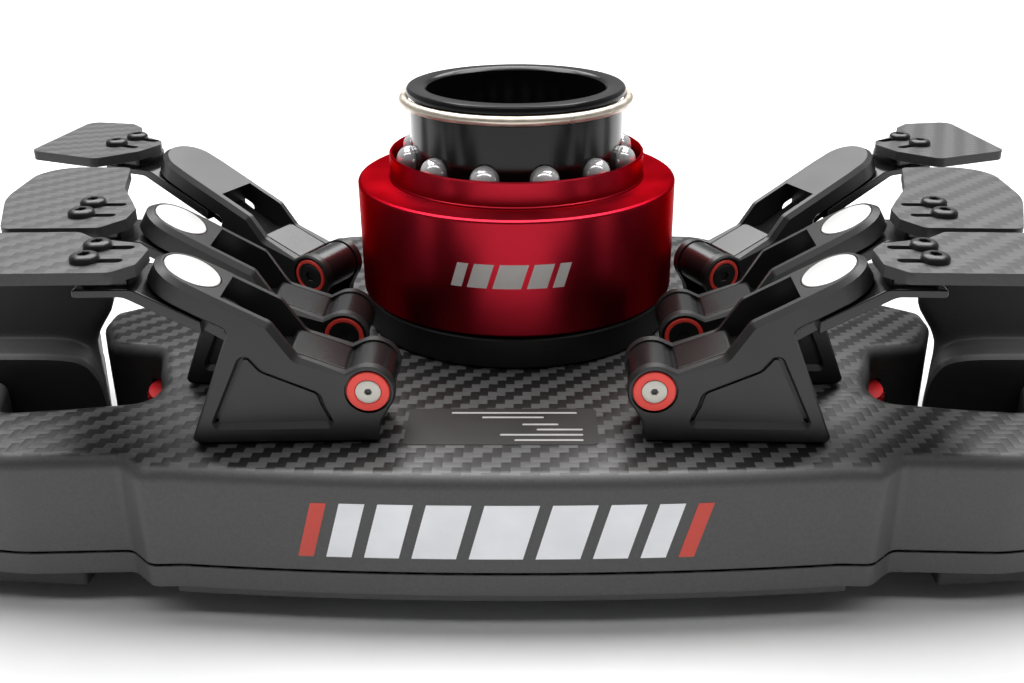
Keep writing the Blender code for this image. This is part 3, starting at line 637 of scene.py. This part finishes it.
def grips():
    pad = [(88.5, -77.6, 1), (117, -75.2, 16), (137.5, -58, 12), (139.5, -40, 3), (99.5, -40, 2),
           (99.5, -41.4, 1), (113, -43, 3), (111, -58.5, 4), (88.5, -58.5, 2)]
    rear_stations = [*evenly(GRIP_NEAR_END + GAP, -39.8, 7), *evenly(-39.0, -33.0, 6),
                     *evenly(-32.5, -24.0, 24), *evenly(-23.0, 28.0, 40),
                     *evenly(28.8, GRIP_FAR_END, 14)]
    front_stations = [*evenly(GRIP_NEAR_END + 0.5, 28.0, 50), *evenly(28.8, GRIP_FAR_END, 14)]
    for name, side in SIDES.items():
        piece(f"handle_rear_{name}", loft([grip_rear_row(y) for y in rear_stations]), grip_rubber,
              "housing", "grip_rubber", side=side, sharp=50.0, replaces=[f"grip_rear_{name}"])
        piece(f"handle_front_{name}", loft([grip_front_row(y) for y in front_stations]), grip_rubber,
              "housing", "grip_rubber", side=side, sharp=50.0, replaces=[f"grip_front_{name}"])
        piece(f"shoulder_pad_{name}", extrusion(rounded(pad), FRONT - 3.5, FRONT - 0.05), grip_rubber,
              "housing", "grip_rubber", side=side, bevel=0.6)


# ---------------------------------------------------------------- quick release

def ball_turns():
    return [2.0 * math.pi * (i + 0.5) / BALL_COUNT for i in range(BALL_COUNT)]


def quick_release():
    piece("spacer_ring", turned([(38.0, GAP), (38.4, GAP + 0.4), (38.4, 7.3), (38.0, 7.7),
                                 (22.6, 7.7), (22.6, GAP)], closed=True), black_matt, "housing",
          "black_anodised_aluminium", replaces=["hub_spacer"])
    profile = [(21.6, 57.0), (21.6, 8.0), (30.0, 8.0), (30.0, 12.0), (25.7, 12.0), (25.7, 53.2),
               (25.0, 53.2), (25.0, 56.0), (26.2, 56.0), (26.4, 56.2), (26.4, 57.0), (26.2, 57.5),
               (25.8, 57.8), (22.5, 57.8), (22.1, 57.6)]
    drills = []
    for turn in ball_turns():
        points, faces = turned([(BALL_HOLE_RADIUS, 18.0), (BALL_HOLE_RADIUS, 30.0)], 32)
        c, s = math.cos(turn), math.sin(turn)
        drills.append(([(z * c - a * s, z * s + a * c, b + BALL_HEIGHT) for a, b, z in points], faces))
    piece("release_tube", turned(profile, 144, closed=True), black_turned, "housing",
          "black_anodised_aluminium", cuts=drills, replaces=["qr_tube"])
    rows = []
    for angle in evenly(math.radians(91.0), math.radians(449.0), 160):
        rows.append([(r * math.cos(angle), r * math.sin(angle), z)
                     for r, z in circle(SNAP_RING_RADIUS, SNAP_RING_HEIGHT, SNAP_RING_WIRE, 16)])
    piece("snap_wire", loft(rows), wire_steel, "housing", "bright_steel", sharp=60.0,
          replaces=["qr_snap_ring"])
    profile = [(38.4, 8.3), (COLLAR_RADIUS, 8.9), (COLLAR_RADIUS, 35.2), (38.8, 35.6), (38.3, 35.9),
               (31.7, 35.9), (31.4, 36.0), (31.3, 36.4), (31.1, 36.6), (31.1, 41.9), (30.9, 42.2),
               (30.55, 42.2), (30.35, 42.0), (26.5, 31.0), (26.5, 29.0), (33.0, 29.0), (33.0, 8.3)]
    piece("collar_sleeve", turned(profile, 180, closed=True), red_turned, "collar",
          "red_anodised_aluminium", sharp=25.0, replaces=["qr_collar"])
    dress("qr_spring", wire_steel)
    shape = bmesh.new()
    bmesh.ops.create_icosphere(shape, subdivisions=5, radius=BALL_RADIUS)
    ball = [tuple(v.co) for v in shape.verts], [[v.index for v in f.verts] for f in shape.faces]
    shape.free()
    for i, turn in enumerate(ball_turns()):
        centre = BALL_RING_RADIUS * math.cos(turn), BALL_RING_RADIUS * math.sin(turn), BALL_HEIGHT
        number = f"{i + 1:02d}"
        piece(f"lock_ball_{number}", moved(ball, *centre), ball_steel, f"ball_{number}", "bright_steel",
              sharp=60.0, replaces=[f"qr_ball_{number}"])


# ---------------------------------------------------------------- paddle units

def unit_matrix(kind, side):
    unit = UNITS[kind]
    half = UNIT_WIDTH / 2.0
    middle = unit.x - half * math.sin(unit.turn), unit.y + half * math.cos(unit.turn)
    place = Vector((side * middle[0], middle[1], 0.0)) * MM
    return Matrix.Translation(place) @ Matrix.Rotation(side * unit.turn, 4, "Z")


def arm_line(unit, u, drop=0.0):
    """Height of the arm's top line at u, less a drop measured square to the arm."""
    return ARM_TOP + u * math.tan(unit.slope) - drop / math.cos(unit.slope)


def arm_reaches(unit, height, drop):
    """The u at which a line below the arm's top line reaches a height."""
    return (height - ARM_TOP + drop / math.cos(unit.slope)) / math.tan(unit.slope)


def arc(radius, first, last, steps):
    return [(radius * math.cos(a), PIN_HEIGHT + radius * math.sin(a))
            for a in evenly(math.radians(first), math.radians(last), steps + 1)]


def cheek_outline(unit):
    """Side plate of the bracket in (u, z), with how much of each point's edge is bevelled off."""
    end = 31.0 + unit.reach
    under, over = HEAD_THICK - HEAD_LIP, HEAD_LIP
    boss = [(u, z, 0.4) for u, z in [*arc(BOSS_RADIUS, 60, 220, 28), (-2.4, 5.0), (-1.3, GAP)]]
    foot = rounded([(-1.3, GAP, 0), (36.1, GAP, 1.2), (26.2, arm_line(unit, 26.2, under), 1.5),
                    (end, arm_line(unit, end, under), 0)], 6)[1:]
    top = rounded([(end, arm_line(unit, end, under), 0), (end, arm_line(unit, end, over), 0),
                   (18.0, arm_line(unit, 18.0, over), 2.5), (13.5, 18.9, 3.0), (4.4, 15.3, 0)], 8)[1:]
    widths = [ARM_CHAMFER - (ARM_CHAMFER - 0.4) * ease(-u, -9.0, -4.4) for u, _ in top]
    return boss + [(u, z, 0.4) for u, z in foot] + [(u, z, w) for (u, z), w in zip(top, widths)]


def chamfered(outline, inner, outer):
    """Plate between two heights, narrowed at the outer one by each point's own width."""
    flat = [(u, z) for u, z, _ in outline]
    out = math.copysign(1.0, outer - inner)
    shoulder = [(u, z, outer - out * width) for u, z, width in outline]
    face = [(u + (a - u) * width, z + (b - z) * width, outer)
            for (u, z, width), (a, b) in zip(outline, inset(flat, 1.0))]
    return along_v(loft([level(flat, inner), shoulder, face]))


def panel_outline():
    return rounded([(32.2, 3.4, 1.5), (24.8, 19.2, 1.5), (22.8, 19.6, 1.6), (20.4, 16.4, 2.5),
                    (9.4, 11.4, 2.5), (8.6, 8.4, 2.5), (6.4, 3.4, 1.5)], 6)


def panel_cutter(face, inwards):
    """Recess with sloping walls: the outline narrows by as much as it goes in."""
    rows = [level(inset(panel_outline(), depth), face + inwards * depth)
            for depth in (-0.4, PANEL_DEPTH)]
    return along_v(loft(rows))


def panel_trench(face, inwards):
    """Narrow deeper groove round the recess, except along its foot."""
    outer, inner = (inset(panel_outline(), margin)[4:-4] for margin in (0.45, 1.15))
    low, high = sorted((face + inwards * 0.3, face + inwards * (CHEEK - 0.5)))
    return along_v(extrusion(outer + inner[::-1], low, high))


def head_outline(unit, margin):
    """Flat head in its own tilted plane: distance along the arm and v."""
    slope = math.cos(unit.slope)
    start, centre = HEAD_START / slope, (HEAD_CENTRE + unit.reach) / slope
    radius, half = HEAD_RADIUS - margin, UNIT_WIDTH / 2.0 + HEAD_LIP - margin
    end = [(centre + radius * math.cos(a), radius * math.sin(a))
           for a in evenly(-math.pi / 2, math.pi / 2, 48)]
    return [(start, -half), (centre - 4.0, -half), *end, (centre - 4.0, half), (start, half)]


def head_solid(unit):
    steps = ((0.35, -HEAD_THICK), (0.0, 0.35 - HEAD_THICK), (0.0, -ARM_CHAMFER), (ARM_CHAMFER, 0.0))
    return loft([level(head_outline(unit, margin), height) for margin, height in steps])


def tilted(unit, solid):
    points, faces = solid
    c, s = math.cos(unit.slope), math.sin(unit.slope)
    return [(a * c - n * s, v, ARM_TOP + a * s + n * c) for a, v, n in points], faces


def hexagon(radius, z, steps=36):
    points = []
    for i in range(steps):
        angle = 2.0 * math.pi * i / steps
        reach = radius * math.cos(math.pi / 6) / math.cos(angle % (math.pi / 3) - math.pi / 6)
        points.append((reach * math.cos(angle), reach * math.sin(angle), z))
    return points


def screw(radius, height, socket, depth, dome=0.6):
    """Screw head with a hexagon socket, standing on z = 0."""
    rows = [level(circle(0, 0, radius, 36), 0.0), level(circle(0, 0, radius, 36), height * (1 - dome))]
    for i in range(1, 5):
        t = i / 4
        r = radius - (radius - socket - 0.45) * (1 - math.cos(t * math.pi / 2))
        rows.append(level(circle(0, 0, r, 36), height * (1 - dome + dome * math.sin(t * math.pi / 2))))
    rows += [hexagon(socket + 0.12, height), hexagon(socket, height - 0.12),
             hexagon(socket, height - depth)]
    return loft(rows)


def facing_v(solid, v, sign):
    """Solid standing on z = 0, turned to stand out along v at the pin's height."""
    points, faces = solid
    return [(a, v + sign * c, PIN_HEIGHT + b) for a, b, c in points], faces


def bracket(kind, name, side, matrix):
    unit = UNITS[kind]
    half = UNIT_WIDTH / 2.0
    outline = cheek_outline(unit)
    common = {"side": side, "matrix": matrix}
    metal = black_metal, "housing", "black_anodised_aluminium"
    for end, sign in (("near", -1), ("far", 1)):
        low_seat, high_seat = sorted((sign * (half + 1.0), sign * (half - 0.9)))
        seat = along_v(extrusion(circle(0, PIN_HEIGHT, PIN_HEAD_SEAT_RADIUS, 48), low_seat, high_seat))
        piece(f"{kind}_cheek_{end}_{name}", chamfered(outline, sign * (half - CHEEK), sign * half), *metal,
              cuts=[panel_cutter(sign * half, -sign), panel_trench(sign * half, -sign), seat], sharp=24.0,
              replaces=[f"{kind}_bracket_{name}"] if end == "near" else (), **common)
    magnet_along = (MAGNET_PLACE + unit.reach) / math.cos(unit.slope)
    has_magnet = kind != "clutch"
    seat = moved(extrusion(circle(0, 0, MAGNET_RADIUS + 0.25, 72), -0.8, 0.5), magnet_along)
    piece(f"{kind}_head_{name}", tilted(unit, head_solid(unit)), *metal,
          cuts=[tilted(unit, seat)] if has_magnet else (), sharp=24.0, **common)
    if has_magnet:
        disc = turned([(MAGNET_RADIUS, -0.7), (MAGNET_RADIUS, 0.02), (MAGNET_RADIUS - 0.12, 0.14),
                       (MAGNET_RADIUS - 0.4, 0.18), (0.4, 0.18)], 96)
        piece(f"{kind}_magnet_{name}", tilted(unit, moved(disc, magnet_along)), magnet_steel, "housing",
              "bright_steel", **common)
    bridge = [(8.0, GAP), (35.0, GAP), (34.0, 3.4), (8.0, 3.4)]
    piece(f"{kind}_foot_{name}", along_v(extrusion(bridge, 1.0 - half, half - 1.0)), *metal,
          bevel=0.2, **common)


def pin(kind, name, side, matrix):
    half = UNIT_WIDTH / 2.0
    common = {"side": side, "matrix": matrix}
    light = kind == "shifter"
    bore = 2.55 if light else 3.3
    ring = turned([(bore, -0.5), (4.3, -0.5), (4.3, 0.65), (4.1, 0.9), (bore + 0.2, 0.95),
                   (bore, 0.75)], 64, closed=True)
    piece(f"{kind}_pin_ring_{name}", facing_v(ring, 0.9 - half, -1), red_ring, "housing",
          "red_anodised_aluminium", replaces=[f"{kind}_pin_{name}"], **common)
    head = screw(bore - 0.05, 0.95, 0.75 if light else 1.3, 0.7, 0.12)
    piece(f"{kind}_pin_screw_{name}", facing_v(head, 0.9 - half, -1),
          screw_steel if light else black_screw, "housing", "bright_steel", **common)
    shaft = along_v(extrusion(circle(0, PIN_HEIGHT, 2.5, 32), 0.5 - half, half - 0.6))
    piece(f"{kind}_pin_shaft_{name}", shaft, black_screw, "housing", "bright_steel", **common)
    piece(f"{kind}_pin_nut_{name}", facing_v(screw(4.0, 1.0, 1.6, 0.8, 0.3), half - 0.9, 1),
          black_screw, "housing", "black_anodised_aluminium", **common)


def lever(kind, name, side, matrix):
    unit = UNITS[kind]
    body = f"{kind}_{name}"
    common = {"side": side, "matrix": matrix}
    metal = black_lever, body, "black_anodised_aluminium"
    over = HEAD_THICK + LEVER_GAP
    under = over + LEVER_THICK
    arm = arc(KNUCKLE_RADIUS, 62, 307, 60) + rounded(
        [(*arc(KNUCKLE_RADIUS, 307, 307, 1)[0], 0), (15.0, arm_line(unit, 15.0, under + 1.5), 2),
         (33.0, arm_line(unit, 33.0, under), 0), (33.0, arm_line(unit, 33.0, over), 0),
         (20.0, 18.4, 1.5), (16.2, 17.9, 0.8), (15.0, 19.6, 0.7), (4.2, 15.25, 1.2)], 6)[1:]
    half = UNIT_WIDTH / 2.0 - CHEEK - GAP
    piece(f"{kind}_arm_{name}", along_v(extrusion(arm, -half, half)), *metal, bevel=0.22,
          replaces=[f"{kind}_lever_{name}"], **common)
    low, high = TIP_FOOT + unit.tip_rise, TIP_TOP + unit.tip_rise
    end = TIP_END + unit.tip_reach
    wide = rounded([(31.0, arm_line(unit, 31.0, under), 0), (arm_reaches(unit, low, under), low, 4),
                    (end, low, 0.6), (end, high, 0.6), (arm_reaches(unit, high, over), high, 4),
                    (31.0, arm_line(unit, 31.0, over), 0)])
    strip = UNIT_WIDTH / 2.0 - 0.2
    piece(f"{kind}_strip_{name}", along_v(extrusion(wide, -strip, strip)), *metal, bevel=0.3, **common)
    foot = BLADE_FOOT + unit.tip_rise
    first, last = SLOT_INNER + unit.tip_reach, SLOT_OUTER + unit.tip_reach
    pad = rounded([(first - 1.5, -6.0, 1), (last + 1.5, -6.0, 1), (last + 1.5, 4.2, 1),
                   (first - 1.5, 4.2, 1)])
    piece(f"{kind}_pad_{name}", extrusion(pad, high - 0.3, foot), *metal, **common)
    slots = [extrusion(stadium(first, last, v, 1.1), foot - 1.0, foot + 4.0) for v in SLOT_V]
    top = foot + BLADE_THICK
    piece(f"{kind}_plate_{name}", extrusion(rounded(BLADES[kind], 8), foot, top), carbon_blade, body,
          "carbon_fibre", bevel=0.3, cuts=slots, replaces=[f"{kind}_blade_{name}"], **common)
    for i, v in enumerate(SLOT_V):
        head = moved(screw(2.75, 1.55, 1.2, 0.9), last, v, top - 0.05)
        piece(f"{kind}_screw_{i + 1}_{name}", head, black_screw, body, "black_anodised_aluminium",
              **common)


def paddle_units():
    for kind in UNITS:
        for name, side in SIDES.items():
            matrix = unit_matrix(kind, side)
            bracket(kind, name, side, matrix)
            pin(kind, name, side, matrix)
            lever(kind, name, side, matrix)


# ---------------------------------------------------------------- front controls

def knurled(radius, low, high, teeth, depth, edge, steps_per_tooth=6):
    """Round body with rounded teeth round its side and plain chamfered ends."""
    count = teeth * steps_per_tooth

    def ring(base, cut, z):
        points = []
        for i in range(count):
            angle = 2.0 * math.pi * i / count
            r = base - cut * (0.5 - 0.5 * math.cos(teeth * angle))
            points.append((r * math.cos(angle), r * math.sin(angle), z))
        return points

    return loft([ring(radius - edge, 0.0, low), ring(radius - depth * 0.5, depth * 0.5, low + edge),
                 ring(radius, depth, low + edge * 1.6), ring(radius, depth, high - edge * 1.6),
                 ring(radius - depth * 0.5, depth * 0.5, high - edge), ring(radius - edge, 0.0, high)])


def push_button(row, name, x, y):
    foot = PLATE_FOOT - 4.2
    cap = [(0.3, foot + 0.5), (4.4, foot + 0.3), (5.4, foot), (6.1, foot + 0.1), (6.6, foot + 0.6),
           (6.7, foot + 1.2), (6.7, SHELL_FOOT + GAP), (8.6, SHELL_FOOT + GAP), (8.6, SHELL_FOOT + 2.0)]
    rim = [(7.3, PLATE_FOOT - 0.9), (7.6, PLATE_FOOT - 1.2), (8.4, PLATE_FOOT - 1.2),
           (8.8, PLATE_FOOT - 0.8), (8.8, PLATE_FOOT + 0.02), (7.3, PLATE_FOOT + 0.02)]
    piece(f"push_cap_{row}_{name}", moved(turned(cap, 64), x, y), red_moulded,
          f"button_{row}_{name}_cap", "red_plastic", replaces=[f"button_{row}_{name}"])
    piece(f"push_rim_{row}_{name}", moved(turned(rim, 64, closed=True), x, y), black_turned,
          "housing", "black_anodised_aluminium")


def dial(name, x, y):
    """Knurled knob on its shaft, with a pointer line, and a ring of ticks on the plate."""
    body = f"rotary_knob_{name}_body"
    piece(f"dial_grip_{name}", moved(knurled(KNOB_RADIUS, FLOOR + 1.7, FRONT, 30, 0.7, 0.6), x, y),
          black_moulded, body, "black_anodised_aluminium", replaces=[f"rotary_knob_{name}"])
    shaft = turned([(KNOB_SHAFT_RADIUS, FRONT - 0.5), (KNOB_SHAFT_RADIUS, SHELL_FOOT + 5.0)], 32)
    piece(f"dial_shaft_{name}", moved(shaft, x, y), black_turned, body, "black_anodised_aluminium")
    line = rounded([(-0.5, -9.6, 0.4), (0.5, -9.6, 0.4), (0.5, -3.0, 0.4), (-0.5, -3.0, 0.4)], 3)
    piece(f"dial_mark_{name}", moved(extrusion(line, FLOOR + 1.6, FLOOR + 1.8), x, y), white_print,
          body, "bright_steel")
    tick = [(-0.25, -14.0), (0.25, -14.0), (0.25, -12.4), (-0.25, -12.4)]
    points, faces = extrusion(tick, PLATE_FOOT - 0.06, PLATE_FOOT + 0.02)
    for i in range(TICK_COUNT):
        turn = Matrix.Rotation(2.0 * math.pi * i / TICK_COUNT, 3, "Z")
        turned_tick = [tuple(turn @ Vector(point)) for point in points], faces
        piece(f"dial_tick_{i + 1:02d}_{name}", moved(turned_tick, x, y), white_print, "housing",
              "bright_steel")


def front_controls():
    for name, side in SIDES.items():
        for row, (x, y) in BUTTON_PLACES.items():
            push_button(row, name, side * x, y)
        dial(name, side * KNOB_PLACE[0], KNOB_PLACE[1])
        for i, (x, y) in enumerate(PLATE_SCREW_PLACES):
            points, faces = screw(2.6, 1.3, 1.15, 0.9)
            flipped = [(a + side * x, b + y, PLATE_FOOT + 0.02 - c) for a, b, c in points]
            piece(f"plate_screw_{i + 1}_{name}", (flipped, faces), black_screw, "housing",
                  "black_anodised_aluminium")
        roller = knurled(ROLLER_RADIUS, ROLLER_LOW, ROLLER_HIGH, 26, 0.9, 0.5)
        piece(f"roller_wheel_{name}", moved(roller, side * ROLLER_PLACE[0], ROLLER_PLACE[1]),
              red_moulded, f"thumb_roller_{name}_body", "red_plastic",
              replaces=[f"thumb_roller_{name}"])


# ---------------------------------------------------------------- printed marks

def slanted_bar(x0, x1, low, high, slant, surface, thickness=0.06):
    """Thin slanted bar laid on a curved wall; surface(x, lift) gives the wall's (x, y)."""
    rows = []
    for t in evenly(0.0, 1.0, 9):
        bottom = surface(x0 + (x1 - x0) * t - slant / 2, thickness)
        top = surface(x0 + (x1 - x0) * t + slant / 2, thickness)
        back_bottom = surface(x0 + (x1 - x0) * t - slant / 2, -thickness)
        back_top = surface(x0 + (x1 - x0) * t + slant / 2, -thickness)
        rows.append([(*bottom, low), (*top, high), (*back_top, high), (*back_bottom, low)])
    return loft(rows)


def on_wall(x, lift):
    return x, wall_y(x) - lift


def on_collar(x, lift):
    angle = x / COLLAR_RADIUS
    return (COLLAR_RADIUS + lift) * math.sin(angle), -(COLLAR_RADIUS + lift) * math.cos(angle)


def marks():
    """Bands of slanted stripes, widest at the middle, and a label plate with thin bars."""
    x = -40.5
    for i in range(9):
        from_middle = abs(i - 4)
        width = 10.7 - 1.9 * from_middle
        piece(f"wall_stripe_{i + 1}", slanted_bar(x, x + width, -18.4, -6.0, 3.4, on_wall),
              red_print if from_middle == 4 else white_print, "housing", "carbon_fibre")
        x += width + 2.5
    x = -13.7
    for i in range(5):
        width = 6.4 - 1.9 * abs(i - 2)
        piece(f"collar_stripe_{i + 1}", slanted_bar(x, x + width, 20.2, 25.8, 1.8, on_collar),
              silver_print, "collar", "red_anodised_aluminium")
        x += width + 1.3
    label = rounded([(-22.0, -73.0, 1.2), (17.6, -73.0, 1.2), (17.6, -57.5, 1.2), (-22.0, -57.5, 1.2)])
    piece("label_plate", extrusion(label, -0.02, 0.1), label_film, "housing", "black_plastic")
    bars = ((-59.5, -13.0, 13.5), (-61.5, -6.5, 6.5), (-64.6, 2.0, 9.5), (-66.8, 5.0, 14.5),
            (-69.0, -2.5, 14.5), (-71.2, 0.5, 14.5))
    for i, (y, first, last) in enumerate(bars):
        bar = rounded([(last, y - 0.35, 0.3), (last, y + 0.35, 0.3), (first, y + 0.35, 0.3),
                       (first, y - 0.35, 0.3)], 3)
        piece(f"label_bar_{i + 1}", extrusion(bar, 0.0, 0.14), grey_print, "housing", "black_plastic")


# ---------------------------------------------------------------- studio

def area_light(name, place, target, size, power, size_y=None):
    light = bpy.data.lights.new(name, "AREA")
    light.energy = power
    light.size = size
    if size_y:
        light.shape, light.size_y = "RECTANGLE", size_y
    made = bpy.data.objects.new(name, light)
    made.location = place
    made.rotation_euler = (Vector(target) - Vector(place)).to_track_quat("-Z", "Y").to_euler()
    bpy.context.scene.collection.objects.link(made)


def studio():
    bpy.ops.mesh.primitive_plane_add(size=8.0, location=(0, 0, FLOOR * MM))
    floor = bpy.context.object
    floor.name = "studio_floor"
    floor.data.materials.append(satin_look("floor_paper", grey(0.86), 0.7, grain=40.0, spread=0.01,
                                           strength=0.01))
    scene = bpy.context.scene
    scene.view_settings.view_transform = "Standard"
    scene.world = backdrop()
    area_light("overhead_softbox", (0.0, 0.14, 0.85), (0.0, 0.0, 0.0), 1.2, 13.0, 0.42)
    area_light("rim_softbox", (0.0, -0.36, 0.8), (0.0, -0.05, 0.0), 2.0, 2.4, 0.15)
    area_light("floor_wash", (0.0, 0.95, 1.0), (0.0, 0.9, 0.0), 1.6, 24.0, 0.8)


def backdrop():
    """Sky that is bright behind the wheel and overhead, and dim on the camera's side."""
    world = bpy.data.worlds.new("studio_world")
    world.use_nodes = True
    nodes, links = world.node_tree.nodes, world.node_tree.links
    parts = nodes.new("ShaderNodeSeparateXYZ")
    links.new(nodes.new("ShaderNodeTexCoord").outputs["Generated"], parts.inputs["Vector"])
    level_by_y = nodes.new("ShaderNodeMapRange")
    level_by_y.interpolation_type = "SMOOTHSTEP"
    for key, value in (("From Min", -0.6), ("From Max", 0.8), ("To Min", 0.1), ("To Max", 0.3)):
        level_by_y.inputs[key].default_value = value
    links.new(parts.outputs["Y"], level_by_y.inputs["Value"])
    links.new(level_by_y.outputs["Result"], nodes["Background"].inputs["Strength"])
    nodes["Background"].inputs["Color"].default_value = (1.0, 1.0, 1.0, 1.0)
    return world


def camera():
    """Looks along +Y and down at the rear, from over the wheel's top edge."""
    view = bpy.data.cameras.new("camera")
    view.sensor_width = 36.0
    view.lens = 38.67
    view.clip_start = 0.005
    view.shift_x = -0.026
    made = bpy.data.objects.new("camera", view)
    made.location = (0.0054, -0.2659, 0.1098)
    made.rotation_euler = (math.radians(90.0 - 24.27), 0.0, 0.0)
    bpy.context.scene.collection.objects.link(made)
    bpy.context.scene.camera = made


shell()
plate()
display()
grips()
quick_release()
paddle_units()
front_controls()
marks()
studio()
camera()
